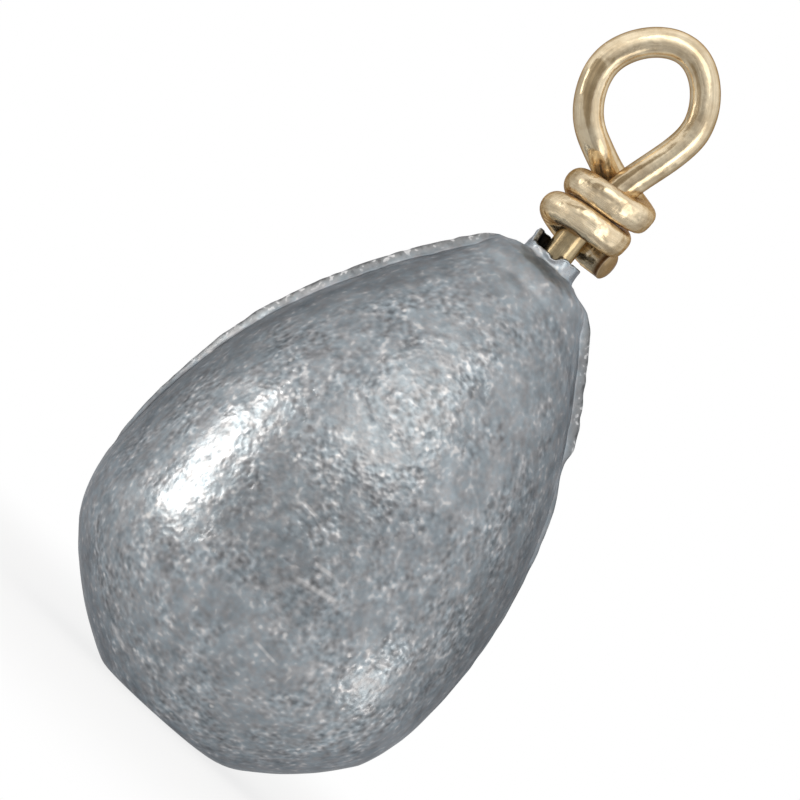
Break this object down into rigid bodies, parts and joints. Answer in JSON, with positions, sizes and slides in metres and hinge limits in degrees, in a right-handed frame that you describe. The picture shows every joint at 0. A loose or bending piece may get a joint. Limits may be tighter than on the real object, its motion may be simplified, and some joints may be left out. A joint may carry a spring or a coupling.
{
  "type": "fishing sinker",
  "caption": "Pear-shaped cast lead fishing sinker with a flat base and a brass swivel eye at its tip: a leaning wire loop, wound on its own stem, that turns freely on the axis.",
  "frame": {"origin": "centre of the flat base", "axes": "+Z along the body's axis, from the base to the eye; the casting's parting plane and the eye's loop lie in the XZ plane, and the loop leans to -X"},
  "size_m": [0.0222, 0.022, 0.0458],
  "materials": {
    "lead": "dull as-cast lead with fine scratches",
    "barrel_brass": "plain turned brass",
    "wire_brass": "bright drawn wire"
  },
  "bodies": {
    "sinker": {"lead_body": "lead", "swivel_barrel": "barrel_brass", "anchor_wire": "wire_brass"},
    "swivel_eye": {"eye_wire": "wire_brass"}
  },
  "joints": [
    {"name": "eye_swivel", "type": "hinge", "parent": "sinker", "child": "swivel_eye", "pos_m": [0, 0, 0.0298], "axis": [0, 0, 1], "continuous": true}
  ]
}
